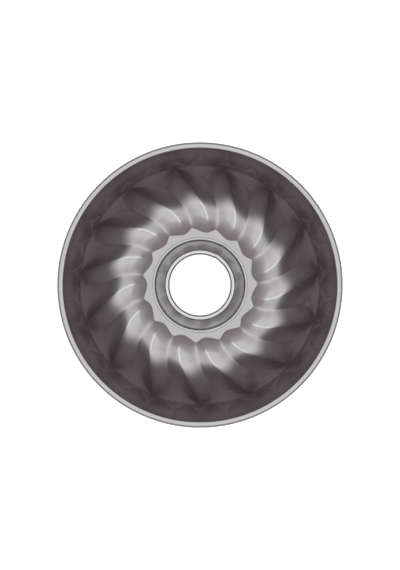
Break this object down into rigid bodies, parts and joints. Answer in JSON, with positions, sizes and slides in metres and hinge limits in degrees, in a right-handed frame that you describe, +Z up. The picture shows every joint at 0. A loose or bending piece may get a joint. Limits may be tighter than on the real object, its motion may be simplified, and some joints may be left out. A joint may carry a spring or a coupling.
{
  "type": "fluted ring cake pan",
  "caption": "Round ring cake pan with swirled flutes, a faceted band on its wall, a rolled rim and an open conical centre tube.",
  "frame": {"origin": "centre of the base, on the surface that the pan stands on", "axes": "+Z up along the centre tube, out of the pan's mouth; +X through the rim, 5.8 degrees clockwise of one flute's outer end"},
  "size_m": [0.25, 0.25, 0.105],
  "materials": {
    "coated_sheet": "satin metallic non-stick coating, warm dark grey, on thin steel sheet",
    "tube_sheet": "satin, slightly warm, with brown heat tint beside the lap seam",
    "wire_steel": "drawn wire, bare"
  },
  "bodies": {
    "root": {"pan_shell": "coated_sheet", "centre_tube": "tube_sheet", "rim_wire": "wire_steel"}
  },
  "joints": []
}
